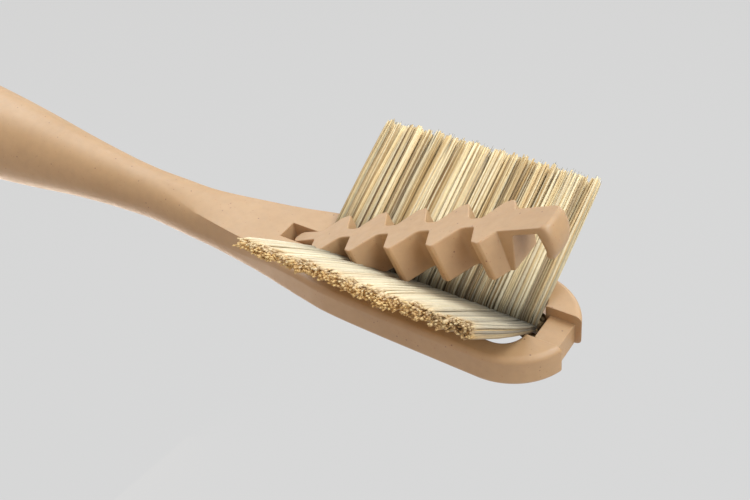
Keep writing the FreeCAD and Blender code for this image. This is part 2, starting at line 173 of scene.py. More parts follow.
def combine(piece, other, operation):
    """Cut or join a piece with another closed mesh, which is then removed."""
    step = piece.modifiers.new(operation.lower(), "BOOLEAN")
    step.operation = operation
    step.solver = "EXACT"
    step.object = other
    graph = bpy.context.evaluated_depsgraph_get()
    result = bpy.data.meshes.new_from_object(piece.evaluated_get(graph))
    piece.modifiers.clear()
    old = piece.data
    piece.data = result
    result.name = old.name
    bpy.data.meshes.remove(old)
    bpy.data.objects.remove(other)


def settle(piece):
    """Move a piece's points from the hinge's millimetres to the part's frame in metres."""
    piece.data.transform(Matrix.Scale(0.001, 4) @ Matrix.Translation(Vector(HINGE_PLACE)))


def finish_edges(piece, angle=32.0):
    """Shade a piece smooth, keep edges over an angle sharp, and let its flat faces lead."""
    piece.data.shade_smooth()
    piece.data.set_sharp_from_angle(angle=math.radians(angle))
    lead = piece.modifiers.new("flat faces lead", "WEIGHTED_NORMAL")
    lead.keep_sharp = True
    lead.weight = 80


print("a grid of 3 loops of 4 points has", len(grid_faces(3, 4)), "quads")

# %% [markdown]
# ## Handle, neck and ring
# The brush's body is one moulding. Its round handle thins to a neck, the neck widens into a
# flat ring, and the ring carries the clamp and the mat. It could be sculpted or cut from a
# block. Here it is one skin: cross sections along the handle and neck, and another section
# carried round the ring's frame, which share their points where they meet at the root.

# %% Sizes along the handle and the neck
# Each row: place along the brush, half width, top, bottom, half width of the flat top, end of
# the upper edge's round, start of the lower edge's round, half width of the flat bottom, how
# crisp the upper edge is, and how far the top is crowned.
NECK_ROWS = np.array([
    [2.350, 5.925, 0.00, -3.80, 5.225, -0.70, -3.10, 5.225, 0.0, 0.0],
    [-0.96, 5.350, 0.00, -4.20, 4.72, -1.00, -2.95, 4.05, 0.3, 0.02],
    [-4.99, 4.550, 0.00, -4.75, 3.92, -1.90, -2.90, 2.65, 0.8, 0.08],
    [-8.99, 4.000, 0.00, -5.10, 3.36, -2.30, -2.90, 1.70, 1.0, 0.16],
    [-13.0, 3.550, 0.05, -5.30, 2.75, -2.40, -2.80, 0.95, 0.85, 0.26],
    [-17.0, 3.360, 0.32, -5.38, 2.10, -2.30, -2.60, 0.60, 0.40, 0.36],
    [-20.7, 3.200, 0.72, -5.35, 0.80, -2.20, -2.40, 0.40, 0.1, 0.10],
])
# Each row: place along the handle, its radius and the height of its axis
HANDLE_ROWS = np.array([
    [-24.1, 3.080, -2.20], [-27.7, 3.220, -2.20], [-31.2, 3.450, -2.10], [-38.7, 4.180, -1.95],
    [-46.7, 5.200, -1.92], [-54.8, 6.080, -1.85], [-69.7, 7.250, -1.72], [-90.3, 8.150, -1.63],
    [-112.1, 8.500, -1.60], [-135.2, 8.290, -1.60], [-148.5, 7.710, -1.60], [-153.5, 6.610, -1.60],
    [-155.74, 4.980, -1.60], [-156.35, 3.350, -1.60], [-156.4, 1.20, -1.60],
])
# Points of the fine curve for each point that is kept, and points kept along the handle
FINE_STEPS, HANDLE_STEPS = 6, 260


def smooth_rows(rows, count, rounds=6):
    """Points evenly along a smooth curve through table rows.

    Between two rows the curve is a cubic whose slopes at its ends are those between the rows'
    neighbours. The result is spaced evenly by its length, then each point is averaged with
    its neighbours a few times, so that no bend starts suddenly.
    """
    steps = np.sqrt(np.linalg.norm(np.diff(rows[:, :3], axis=0), axis=1))
    knots = np.concatenate([[0], np.cumsum(steps)])
    slopes = np.gradient(rows, knots, axis=0)
    fine = np.linspace(0, knots[-1], count * FINE_STEPS)
    part = np.clip(np.searchsorted(knots, fine, side="right") - 1, 0, len(knots) - 2)
    span = (knots[part + 1] - knots[part])[:, None]
    t = ((fine - knots[part])[:, None]) / span
    curve = ((2 * t**3 - 3 * t**2 + 1) * rows[part] + (t**3 - 2 * t**2 + t) * span * slopes[part]
             + (3 * t**2 - 2 * t**3) * rows[part + 1] + (t**3 - t**2) * span * slopes[part + 1])
    gaps = np.linalg.norm(np.diff(curve[:, :3], axis=0), axis=1)
    length = np.concatenate([[0], np.cumsum(gaps)])
    even = np.linspace(0, length[-1], count)
    return relax(np.stack([np.interp(even, length, column) for column in curve.T], -1), rounds)


# The round handle in the neck's columns: a narrow flat on top and below, and two near half
# rounds that leave a low band between them at the axis
FLAT_RADIUS_SHARE, BAND_HALF = 0.06, 0.02
place, radius, axis = HANDLE_ROWS.T
flat, none = FLAT_RADIUS_SHARE * radius, 0 * radius
round_rows = np.stack([
    place, radius, axis + radius, axis - radius, flat, axis + BAND_HALF, axis - BAND_HALF,
    flat, none, none,
], -1)
stations = smooth_rows(np.concatenate([NECK_ROWS, round_rows]), HANDLE_STEPS)
stations[0] = NECK_ROWS[0]
print("stations", len(stations), "from", stations[0, 0], "to", round(stations[-1, 0], 2))

# %% Skin of the handle and the neck
ARC_POINTS, INNER_POINTS = 14, 5
ARM_WIDTH, OUTER_ROUND, INNER_ROUND = 2.3, 0.7, 0.2
ROOT_HALF = NECK_ROWS[0, 1]
# Share of the root's flat top where the round of the ring's inner edge starts
FLAT_SHARE = (ROOT_HALF - ARM_WIDTH + INNER_ROUND) / (ROOT_HALF - OUTER_ROUND)
# Places across the flat top, as shares of its half width, that let it be crowned
CROWN_SHARES = [0.12, 0.3, 0.5, FLAT_SHARE]
# How much of a crisp edge is a straight slope
SLOPE_SHARE = 0.72


def half_section(rows):
    """Right half of the cross sections, from the flat top round the side to the flat bottom.

    The upper and lower edges are quarter ellipses. The upper one is mixed with a nearly
    straight slope by the row's crispness, which leaves a clear edge along the flat top. The
    crown lowers the top by crown x (y / half width of the flat) squared.
    """
    x, w, top, bottom, flat, high, low, foot, crisp, crown = (
        column[:, None] for column in rows.T)
    a = np.linspace(0, math.pi / 2, ARC_POINTS)[None]
    share = a / (math.pi / 2)
    slope = SLOPE_SHARE * share + (1 - SLOPE_SHARE) * np.sin(a)
    upper_y = flat + (w - flat) * ((1 - crisp) * np.sin(a) + crisp * slope)
    rim = top - crown
    upper_z = rim - (rim - high) * ((1 - crisp) * (1 - np.cos(a)) + crisp * share)
    lower_y = foot + (w - foot) * np.cos(a)
    lower_z = bottom + (low - bottom) * (1 - np.sin(a))
    inward = np.array([CROWN_SHARES])
    y = np.concatenate([inward * flat, upper_y, lower_y, FLAT_SHARE * foot], axis=1)
    z = np.concatenate([top - crown * inward**2, upper_z, lower_z, bottom], axis=1)
    return np.broadcast_to(x, y.shape), y, z


x, y, z = half_section(stations)
loops = np.stack([
    np.concatenate([x, x], axis=1),
    np.concatenate([y, -y[:, ::-1]], axis=1),
    np.concatenate([z, z[:, ::-1]], axis=1),
], -1)
handle_rows, handle_columns = loops.shape[:2]
handle_points = loops.reshape(-1, 3)
handle_quads = grid_faces(handle_rows, handle_columns)
handle_end = np.arange(handle_columns) + (handle_rows - 1) * handle_columns
print("handle grid", handle_rows, "x", handle_columns)

# %% Frame of the ring
# Each row: place along the ring's arm and half width of the ring
SIDE_ROWS = np.array([
    [2.350, 5.925], [3.600, 6.125], [6.026, 6.503], [8.908, 6.699], [13.10, 6.825],
    [18.86, 6.909], [26.20, 7.000],
])
SIDE_LENGTH, END_LENGTH, HALF_WIDTH, THICKNESS = 26.2, 7.45, 7.0, 3.8
OPENING_END, CORNER_RADIUS = 29.22, 2.6
ARM_STEPS, RAY_STEPS, CORNER_STEPS, EDGE_STEPS = 90, 91, 40, 12


def ring_pairs():
    """Outer and inner points of the ring's frame, from the root round the end and back.

    Along the arms both points share their place. Round the end both lie on one ray from the
    middle of the ring's end: the outer on an ellipse, the inner on a rectangle's round corner.
    """
    arm_rows = np.column_stack([SIDE_ROWS, 0 * SIDE_ROWS[:, 0]])
    arm = smooth_rows(arm_rows, ARM_STEPS, rounds=2)[:, :2]
    arm[0] = SIDE_ROWS[0]
    arm_outer = np.column_stack([arm[:, 0], -arm[:, 1]])
    arm_inner = np.column_stack([arm[:, 0], ARM_WIDTH - arm[:, 1]])
    ray = np.linspace(-math.pi / 2, math.pi / 2, RAY_STEPS)[1:-1]
    reach = 1 / np.hypot(np.cos(ray) / END_LENGTH, np.sin(ray) / HALF_WIDTH)
    inner_half = HALF_WIDTH - ARM_WIDTH
    bend = np.linspace(-math.pi / 2, 0, CORNER_STEPS)
    corner_x = OPENING_END - SIDE_LENGTH - CORNER_RADIUS
    edge = np.concatenate([
        [[0.0, -inner_half]],
        np.column_stack([corner_x + CORNER_RADIUS * np.cos(bend),
                         CORNER_RADIUS - inner_half + CORNER_RADIUS * np.sin(bend)]),
        [[OPENING_END - SIDE_LENGTH, 0.0]],
    ])
    edge = np.concatenate([edge, edge[-2::-1] * [1, -1]])
    shares = np.linspace(0, 1, EDGE_STEPS)
    fine = np.concatenate([edge[:-1] + (edge[1:] - edge[:-1]) * share for share in shares])
    fine = fine[np.argsort(np.arctan2(fine[:, 1], fine[:, 0]))]
    hole = np.interp(ray, np.arctan2(fine[:, 1], fine[:, 0]), np.hypot(fine[:, 0], fine[:, 1]))
    rays = np.column_stack([np.cos(ray), np.sin(ray)])
    end_outer = rays * reach[:, None] + [SIDE_LENGTH, 0]
    end_inner = rays * hole[:, None] + [SIDE_LENGTH, 0]
    flip = np.array([1, -1])
    outer = np.concatenate([arm_outer, end_outer, arm_outer[::-1] * flip])
    inner = np.concatenate([arm_inner, end_inner, arm_inner[::-1] * flip])
    return outer, inner


def ring_skin(outer, inner):
    """Section of the frame carried round the ring: flat faces, round arrises.

    A point of the section is a step in from the outer edge along the line to the inner edge,
    and a height. The first points repeat the neck's own upper and lower rounds.
    """
    a = np.linspace(0, math.pi / 2, ARC_POINTS)
    b = np.linspace(0, math.pi / 2, INNER_POINTS)
    width = np.linalg.norm(inner - outer, axis=1)[:, None]
    along = (inner - outer) / width
    from_outer = OUTER_ROUND * np.concatenate([1 - np.sin(a), 1 - np.cos(a)])
    from_inner = INNER_ROUND * np.concatenate([1 - np.sin(b), 1 - np.cos(b)])
    steps = np.concatenate([from_outer + 0 * width, width - from_inner], axis=1)
    heights = np.concatenate([
        -OUTER_ROUND * (1 - np.cos(a)), -THICKNESS + OUTER_ROUND * (1 - np.sin(a)),
        -THICKNESS + INNER_ROUND * (1 - np.cos(b)), -INNER_ROUND * (1 - np.sin(b)),
    ])
    flat = outer[:, None] + steps[..., None] * along[:, None]
    return np.concatenate([flat, np.broadcast_to(heights[:, None], flat.shape[:2] + (1,))], axis=2)


ring_loops = ring_skin(*ring_pairs())
ring_rows, ring_columns = ring_loops.shape[:2]
ring_start = len(handle_points)
ring_quads = grid_faces(ring_rows, ring_columns, start=ring_start)
inner_part = np.arange(2 * ARC_POINTS, ring_columns)
near_wall = ring_start + inner_part
far_wall = ring_start + (ring_rows - 1) * ring_columns + inner_part
crown_part = np.arange(len(CROWN_SHARES) - 1)
crown_back = (handle_columns - 1 - crown_part)[::-1]
root_wall = np.concatenate([near_wall, crown_back, crown_part, far_wall[::-1]])
moulding = add_piece(
    "moulding", np.concatenate([handle_points, ring_loops.reshape(-1, 3)]),
    np.concatenate([handle_quads, ring_quads]), [handle_end, root_wall])
# The two grids share their points at the root, to within this distance
SEAM = 2e-3
weld(moulding, SEAM)
print("ring grid", ring_rows, "x", ring_columns, "moulding faces", len(moulding.data.polygons))

# %% [markdown]
# ### Root slot and end channel
# The clamp's tail sits in a slot at the root of the ring, its end wall in a seat at the end of
# the opening, and its plate in a channel across the end bar, where the ring's tip is also cut
# back for the hook. These are straight cuts, so a prism is taken away with a boolean.

# %% Cut the slot and the channel


def prism(name, outline, half):
    """Closed prism over an outline in x and z, half its width on each side of y = 0."""
    outline = np.asarray(outline, dtype=float)
    return add_stack(name, np.stack([np.insert(outline, 1, y, axis=1) for y in (-half, half)]))


def rectangle(first_x, last_x, first_z, last_z):
    """Corners of a rectangle in x and z, from one corner round to the one above or below it."""
    return [(first_x, first_z), (last_x, first_z), (last_x, last_z), (first_x, last_z)]


# Heights and a place that are well clear of the moulding
ABOVE, BELOW, BEYOND = 4.0, -9.0, 37.0
SLOT_START, SLOT_END, SLOT_HALF = -3.0, 2.9, 1.3
SEAT_START, SEAT_END, SEAT_TOP, SEAT_BOTTOM = 28.6, 29.72, -1.1, -4.6
CHANNEL_START, CHANNEL_FLOOR, CHANNEL_HALF, TIP_CUT = 27.5, -1.15, 2.25, 32.5
channel = [
    (CHANNEL_START, CHANNEL_FLOOR), (TIP_CUT, CHANNEL_FLOOR), (TIP_CUT, BELOW),
    (BEYOND, BELOW), (BEYOND, ABOVE), (CHANNEL_START, ABOVE),
]
for name, outline, half in (
    ("slot", rectangle(SLOT_START, SLOT_END, BELOW, ABOVE), SLOT_HALF),
    ("wall_seat", rectangle(SEAT_START, SEAT_END, SEAT_TOP, SEAT_BOTTOM), CHANNEL_HALF),
    ("channel", channel, CHANNEL_HALF),
):
    combine(moulding, prism(name, outline, half), "DIFFERENCE")
settle(moulding)
finish_edges(moulding)
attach(moulding, "handle")
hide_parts("handle")
print("moulding after the cuts", len(moulding.data.polygons), "faces")

# %% [markdown]
# ## Clamp bar
# A flat bar with five teeth on each side presses the mat into the ring. It is moulded too, so
# its edges are slightly round. Its outline is a polygon whose corners are rounded all at
# once, and the side is carried round it with a small round at the top and the bottom edge.

# %% Helpers for outlines with round corners
# The least length that another is divided by
TINY = 1e-9


def round_corners(corners, radii, count=7):
    """Points of a closed outline whose corners are arcs.

    At each corner the arc starts and ends a tangent's length away, radius x tan(half the
    turn), and its points are swept from one tangent point to the other about the centre.
    """
    corners = np.asarray(corners, dtype=float)
    radii = np.broadcast_to(np.asarray(radii, dtype=float), len(corners))
    before = np.roll(corners, 1, axis=0) - corners
    after = np.roll(corners, -1, axis=0) - corners
    before /= np.linalg.norm(before, axis=1)[:, None]
    after /= np.linalg.norm(after, axis=1)[:, None]
    inside = np.clip((before * after).sum(1), -1, 1)
    half = np.arccos(inside) / 2
    tangent = radii / np.tan(half)
    bisector = before + after
    bisector /= np.maximum(np.linalg.norm(bisector, axis=1), TINY)[:, None]
    centre = corners + bisector * (radii / np.sin(half))[:, None]
    start = corners + before * tangent[:, None] - centre
    stop = corners + after * tangent[:, None] - centre
    sweep = (math.pi - 2 * half)[:, None, None]
    t = np.linspace(0, 1, count)[None, :, None]
    parts = np.sin((1 - t) * sweep) * start[:, None] + np.sin(t * sweep) * stop[:, None]
    arc = parts / np.maximum(np.sin(sweep), TINY)
    return (centre[:, None] + arc).reshape(-1, 2)


def outward(outline):
    """Unit normals of a closed outline that runs anticlockwise, from its neighbours' chord."""
    chord = np.roll(outline, -1, axis=0) - np.roll(outline, 1, axis=0)
    normal = np.column_stack([chord[:, 1], -chord[:, 0]])
    return normal / np.maximum(np.linalg.norm(normal, axis=1), TINY)[:, None]


def slab(outline, low, high, radius, count):
    """Rings of a slab over a closed outline, with round top and bottom rims.

    A ring lies inside the outline by radius x (1 - sin a) and below the top by
    radius x (1 - cos a), for a from 0 to a right angle, and the same again at the bottom.
    """
    radius = np.broadcast_to(np.asarray(radius, dtype=float), len(outline))[None, :, None]
    a = np.linspace(0, math.pi / 2, count)[:, None, None]
    normal = outward(outline)[None]
    upper = outline[None] - normal * radius * (1 - np.sin(a))
    upper = np.concatenate([upper, high - radius * (1 - np.cos(a)) + 0 * upper[..., :1]], axis=2)
    lower = outline[None] - normal * radius * (1 - np.cos(a))
    lower = np.concatenate([lower, low + radius * (1 - np.sin(a)) + 0 * lower[..., :1]], axis=2)
    return np.concatenate([upper, lower])


square = round_corners([(0, 0), (1, 0), (1, 1), (0, 1)], 0.2)
print("a square with round corners has", len(square), "points")

# %% Bar with teeth, drawn shut
TOOTH_START, TOOTH_PITCH, TEETH = 2.42, 5.83, 5
BAR_HALF, BAR_HEIGHT, BAR_ROUND = 0.82, 4.4, 0.14
# Half widths over the teeth: at the shoulder, at the widest and where the blunt tip ends
SHOULDER_HALF, TOOTH_HALF, TIP_HALF = 3.36, 3.76, 3.62
TAIL_REACH, TAIL_SWELL, TAIL_RADIUS = 1.35, 0.15, 0.8
LAST_HALF, LAST_RADIUS, TOOTH_RADII = 1.7, 0.2, [0.30, 0.40, 0.18, 0.18, 1.0]

# One tooth: a steep leading face, a blunt tip and a long trailing flank
tooth = np.array([
    [0.0, BAR_HALF], [1.25, SHOULDER_HALF], [2.15, TOOTH_HALF], [2.42, TIP_HALF],
    [4.15, BAR_HALF],
])
starts = TOOTH_START + TOOTH_PITCH * np.arange(TEETH)
teeth = (tooth[None] + np.stack([starts, 0 * starts], -1)[:, None]).reshape(-1, 2)
tooth_radii = np.tile(TOOTH_RADII, TEETH)
# The last flank stops early, where it meets the end wall
slope = (teeth[-1] - teeth[-2]) / (BAR_HALF - TIP_HALF)
teeth[-1] = teeth[-2] + slope * (LAST_HALF - TIP_HALF)
tooth_radii[-1] = LAST_RADIUS
far_side = np.concatenate([[[-TAIL_REACH, BAR_HALF + TAIL_SWELL]], teeth])
far_radii = np.concatenate([[TAIL_RADIUS], tooth_radii])
bar_corners = np.concatenate([far_side * [1, -1], far_side[::-1]])
bar_outline = round_corners(bar_corners, np.concatenate([far_radii, far_radii[::-1]]))
clamp = add_stack("clamp", slab(bar_outline, -BAR_HEIGHT, 0.0, BAR_ROUND, count=5))
print("bar outline of", len(bar_outline), "points, last corner", teeth[-1].round(2))

# %% End wall and plate, drawn from the side
PLATE, PLATE_HALF, PLATE_END, PLATE_ROUND = 0.65, 1.9, 34.0, 0.09
WALL_START, WALL_FOOT_END, WALL_TOP_END, WALL_FOOT_HALF = 27.9, 29.55, 30.80, 2.2
side_corners = [
    (WALL_START, -BAR_HEIGHT), (WALL_FOOT_END, -BAR_HEIGHT), (WALL_TOP_END, -PLATE),
    (PLATE_END, -PLATE), (PLATE_END, 0.0), (WALL_START, 0.0),
]
# Radii of the plain edges, of the wall's foot and of the throat under the plate
EDGE_RADIUS, FOOT_RADIUS, THROAT_RADIUS = 0.12, 0.15, 0.40
side_radii = [EDGE_RADIUS, FOOT_RADIUS, THROAT_RADIUS] + 3 * [EDGE_RADIUS]
side_outline = round_corners(side_corners, side_radii)
plate_rings = slab(side_outline, -PLATE_HALF, PLATE_HALF, PLATE_ROUND, count=4)
# The wall widens from the plate's half width to its own at the foot
below = np.clip((-PLATE - plate_rings[..., 1]) / (BAR_HEIGHT - PLATE), 0, 1)
plate_rings[..., 2] *= 1 + (WALL_FOOT_HALF / PLATE_HALF - 1) * below
plate = add_stack("end_plate", plate_rings[..., [0, 2, 1]])
print("wall and plate of", len(side_outline), "points round the side")

# %% [markdown]
# ### Hook
# The plate ends in a curved tongue that snaps over the ring's tip. Its sections lie flat, one
# below the other. Each is a superellipse, so it is round at the corners, and a table says how
# far each reaches inwards, outwards and to the sides. It bulges outwards below the plate and
# draws in again to a lip.

# %% Tongue of the hook
# Each row: height, inner face, outer face, half width
HOOK_ROWS = np.array([
    [0.00, 33.05, 34.50, 1.84], [-0.12, 33.05, 34.68, 1.88], [-0.35, 33.10, 34.86, 1.90],
    [-0.90, 33.22, 34.97, 1.90], [-1.60, 33.30, 34.96, 1.88], [-2.40, 33.32, 34.78, 1.80],
    [-3.00, 33.22, 34.52, 1.68], [-3.40, 32.95, 34.28, 1.56], [-3.75, 32.85, 33.98, 1.38],
    [-4.05, 32.92, 33.62, 1.08], [-4.20, 33.05, 33.40, 0.75],
])


def hook_tongue(name, rows, count=34, around=44, power=3.4):
    """Flat superellipses under one another: |x/a|^p + |y/b|^p = 1 about each row's middle."""
    fine = np.linspace(0, len(rows) - 1, count)
    height, inner, outer, half = (
        np.interp(fine, np.arange(len(rows)), column)[:, None] for column in rows.T)
    turn = even_turn(around)[None]
    round_x = np.sign(np.cos(turn)) * np.abs(np.cos(turn)) ** (2 / power)
    round_y = np.sign(np.sin(turn)) * np.abs(np.sin(turn)) ** (2 / power)
    x = (inner + outer) / 2 + (outer - inner) / 2 * round_x
    points = np.stack([x, half * round_y, height + 0 * turn], -1)
    return add_stack(name, relax(points, rounds=2))


hook = hook_tongue("hook", HOOK_ROWS)
print("hook faces", len(hook.data.polygons))

# %% Hollow the bar from below and join the parts
GROOVE_START, GROOVE_END, GROOVE_HALF, ROOF = 1.6, 27.8, 0.40, 0.8
groove = rectangle(GROOVE_START, GROOVE_END, BELOW, -ROOF)
combine(clamp, prism("groove", groove, GROOVE_HALF), "DIFFERENCE")
combine(clamp, plate, "UNION")
combine(clamp, hook, "UNION")
print("clamp faces", len(clamp.data.polygons))

# %% [markdown]
# ### Lift the clamp
# The bar was drawn shut. The brush stands open, so the bar's points are turned about the
# hinge's axis: x and z mix by the sine and cosine of the open angle.

# %% Turn the clamp about its hinge
OPEN_ANGLE, PIN_DEPTH = 24.33, 1.11
hinge = Vector((0.0, 0.0, -PIN_DEPTH))
tilt = Matrix.Rotation(math.radians(-OPEN_ANGLE), 4, "Y")
clamp.data.transform(Matrix.Translation(hinge) @ tilt @ Matrix.Translation(-hinge))
settle(clamp)
finish_edges(clamp)
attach(clamp, "clamp")
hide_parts("clamp_bar")
places = np.empty(3 * len(clamp.data.vertices), dtype=np.float32)
clamp.data.vertices.foreach_get("co", places)
print("clamp's highest point in mm", round(float(places[2::3].max()) * 1000, 2))

# %% [markdown]
# ## Bristle mat
# The mat is a thick layer of split plant fibres, bound along a crease and folded in a V. Each
# fan is about 18 mm long and 27 mm wide. Hair tools could grow such fibres, but a mesh keeps
# its shape in every program. Every strand is a thin tube of five sides that thins to its tip.
# Strands stand in small locks with painted shade in the gaps between them, and each has its own
# colour.

# %% Colours and sizes of the strands
PALETTE = np.array([
    [0.81, 0.62, 0.35], [0.92, 0.77, 0.52], [0.68, 0.46, 0.23], [0.46, 0.29, 0.12],
    [0.23, 0.13, 0.05], [0.60, 0.48, 0.32],
])
PALETTE_SHARES = [0.29, 0.28, 0.17, 0.12, 0.09, 0.05]
TIP_PALETTE = np.array([
    [1.0, 0.88, 0.58], [0.92, 0.68, 0.34], [0.64, 0.42, 0.18], [0.96, 0.78, 0.46],
])
# Painted light and shade for the blunt fan: pale straw on its upper strands, warm straw on its
# lower ones
PAINTED_LIGHT_STRAW, WARM_SHADE_STRAW = np.array([0.88, 0.78, 0.61]), np.array([0.78, 0.50, 0.20])
GREY_STRAW, WHISKER_GREY = np.array([0.28, 0.24, 0.19]), np.array([0.30, 0.27, 0.22])
STRANDS, LOCKS, SIDES = 1550, 42, 5
CREASE_DEPTH, FIRST_ROOT, FAN_MIDDLE, FAN_HALF = 0.95, 2.45, 15.6, 13
# Rings of a strand, as shares of the way from its root to its tip
WAY_SHARES = np.array([0.0, 0.035, 0.08, 0.13, 0.19, 0.26, 0.36, 0.58, 0.80, 0.94, 1.0])
STRAND_RADII = 0.105, 0.155
WHISKER_TAPER = [0, 0.1, 0.78, 0.94, 1], [0.5, 1, 1, 0.4, 0.15]

# side: 1 behind the crease, -1 in front. blunt: whether the ends are cut blunt. lean: degrees
# from upright. splay, spread: shift of the tips along the crease, and how much wider they
# stand. thickness, reach: of the fan. last_root: where its roots end. lock_lengths: how much
# locks differ in length. lowest: lowest offset off the fan's middle. hang_shares: how much of
# a low offset is kept at the two ends. ragged: of lower and upper strands. crest: greatest
# extra length. whisker_share: strands with a long fine end. sag: droop of the open end.
# taper, painted_shade: places on a strand's way and values there. painted_shade darkens a strand
# near the crease as painted shade. tip_tint: factor on the tip's tint.
REAR = SimpleNamespace(
    seed=11, side=1, blunt=False, lean=69.0, splay=-1.05, spread=0.30, thickness=1.25,
    reach=17.95, last_root=28.85, lock_lengths=0.10, lowest=-0.5, hang_shares=(1.0, 1.0),
    ragged=(0.10, 0.10), crest=0.3, whisker_share=0.09, sag=0.0,
    taper=([0, 0.1, 0.93, 1.0], [0.8, 1.0, 1.0, 0.5]),
    painted_shade=([0, 0.06, 0.16, 0.32, 0.45, 1], [0.10, 0.36, 0.60, 0.86, 0.98, 1.0]),
    tip_tint=[0.98, 0.94, 0.94],
)
FRONT = SimpleNamespace(
    seed=12, side=-1, blunt=True, lean=48.3, splay=1.64, spread=-0.32, thickness=1.0,
    reach=18.2, last_root=29.0, lock_lengths=0.16, lowest=-0.72, hang_shares=(0.52, 0.95),
    ragged=(0.27, 0.12), crest=0.0, whisker_share=0.0, sag=0.22,
    taper=([0, 0.1, 0.93, 1.0], [0.8, 1.0, 1.0, 0.75]),
    painted_shade=([0, 0.08, 0.20, 0.34, 0.50, 1], [0.08, 0.24, 0.40, 0.66, 0.94, 1.0]),
    tip_tint=[0.82, 0.64, 0.42],
)
print("strands", 2 * STRANDS, "in", 2 * LOCKS, "locks")

# %% Roots in locks
# How far a lock strays in place and height, and a strand in its lock
LOCK_PLACE, LOCK_HEIGHT, STRAND_PLACE, ROOT_MARGIN = 0.15, 0.09, 0.17, 0.2
TOP_OFFSET, RAGGED_BELOW, HANG_PLACES = 0.5, 0.3, [3, 29]
CREST_PLACE, CREST_WIDTH, WHISKER_LENGTHS = 12.0, 7.0, (0.2, 0.55)


def strand_roots(rng, kind, count):
    """Where each strand stands, how far off the fan's middle it lies, and its length.

    A root's place is its lock's centre plus a small random distance. A length is the reach
    + the lock's own + raggedness + crest x exp(-(distance from the crest / width) squared),
    and a whisker is a little longer.
    """
    centres = np.linspace(FIRST_ROOT, kind.last_root, LOCKS) + rng.normal(0, LOCK_PLACE, LOCKS)
    heights = rng.normal(0, LOCK_HEIGHT, LOCKS)
    lengths = rng.normal(0, kind.lock_lengths, LOCKS)
    lock = rng.integers(0, LOCKS, count)
    apart = rng.normal(0, STRAND_PLACE, count)
    x = np.clip(centres[lock] + apart, FIRST_ROOT - ROOT_MARGIN, kind.last_root + ROOT_MARGIN)
    offset = rng.uniform(kind.lowest, TOP_OFFSET, count)
    hang = np.interp(x, HANG_PLACES, kind.hang_shares)
    offset = np.where(offset < 0, offset * hang, offset)
    ragged = np.where(offset < RAGGED_BELOW, *kind.ragged)
    length = kind.reach + lengths[lock] + ragged * rng.normal(0, 1, count)
    length = length + kind.crest * np.exp(-((x - CREST_PLACE) / CREST_WIDTH) ** 2)
    whisker = rng.random(count) < kind.whisker_share
    length = length + np.where(whisker, rng.uniform(*WHISKER_LENGTHS, count), 0)
    return SimpleNamespace(x=x, lock=lock, apart=apart, height=heights[lock], offset=offset,
                           length=length, whisker=whisker)


print("reach", REAR.reach, "and", FRONT.reach, "mm")

# %% Centre lines
# Roots lie beside the crease, and start under it on the other side
ROOT_SIDE, FOLD_SIDE, FOLD_DEPTH = 0.2, 0.35, 0.75
# The fan's thickness at the roots, and the way over which it grows
SWELL_START, SWELL_WAY, SWELL_POWER = 0.55, 9.0, 1.5
LOCK_SWAY, STRAND_SWAY, RIPPLE, RIPPLE_RATE, RIPPLE_PHASES = 0.10, 0.06, 0.02, 5, 6.3
FLARE_START, FLARE_SPAN, FLARE_BEND, FLARE_LIFT = 0.93, 0.07, 0.16, (-0.10, 0.14)
SAG_START, SAG_WIDTH, SAG_POWER = 23.5, 5, 0.6


def strand_lines(rng, kind, roots):
    """Centre lines of the strands, and the direction off the fan's middle.

    A line starts under the crease. It is the root plus the way along the lean, a shift
    across that grows with the way, an offset off the fan's middle that swells from the root
    to the tip, and a slow random bend. Splay moves the whole edge across, and spread widens
    it. Blunt ends flare apart a little.
    """
    one_each = (len(roots.x), 1)
    x, t = roots.x[:, None], WAY_SHARES[None]
    way = t * roots.length[:, None]
    lean = math.radians(kind.lean)
    along = np.array([0.0, kind.side * math.sin(lean), math.cos(lean)])
    off = np.array([0.0, -kind.side * math.cos(lean), math.sin(lean)])
    growth = np.minimum(1, way / SWELL_WAY) ** SWELL_POWER
    swell = SWELL_START + (kind.thickness - SWELL_START) * growth
    sway = rng.normal(0, LOCK_SWAY, LOCKS)[roots.lock][:, None]
    bend = t**2 * (sway + STRAND_SWAY * rng.normal(0, 1, one_each))
    phase = rng.uniform(0, RIPPLE_PHASES, one_each)
    bend = bend + RIPPLE * np.sin(RIPPLE_RATE * t + phase)
    rise = STRAND_SWAY * t**2 * rng.normal(0, 1, one_each)
    if kind.blunt:
        flare = np.maximum(0, t - FLARE_START) / FLARE_SPAN
        bend = bend + FLARE_BEND * flare * rng.normal(0, 1, one_each)
        rise = rise + flare * rng.normal(*FLARE_LIFT, one_each)
    shift = kind.splay * t + kind.spread * (x - FAN_MIDDLE) / FAN_HALF * t
    flat = 0 * way
    line = np.stack([x + shift + bend, flat + kind.side * ROOT_SIDE, flat - CREASE_DEPTH], -1)
    line = line + way[..., None] * along
    line[:, 0, 0] = roots.x
    line[:, 0, 1:] = -kind.side * FOLD_SIDE, -CREASE_DEPTH - FOLD_DEPTH
    open_end = np.clip((x - SAG_START) / SAG_WIDTH, 0, 1)
    sag = -kind.sag * open_end * np.sin(math.pi * t**SAG_POWER)
    height = roots.offset[:, None] * swell + roots.height[:, None] * t + rise + sag
    return line + height[..., None] * off, off


print("lean", REAR.lean, "and", FRONT.lean, "degrees")

# %% Strand colours
# How much of a tint is the lock's, how much painted shade darkens a gap between locks, and where
# it is darkest
LOCK_SHARE, TINT_RANGE = 0.25, (0.90, 1.06)
PAINTED_GAP_SHADE, GAP_REACH = 0.45, 0.38
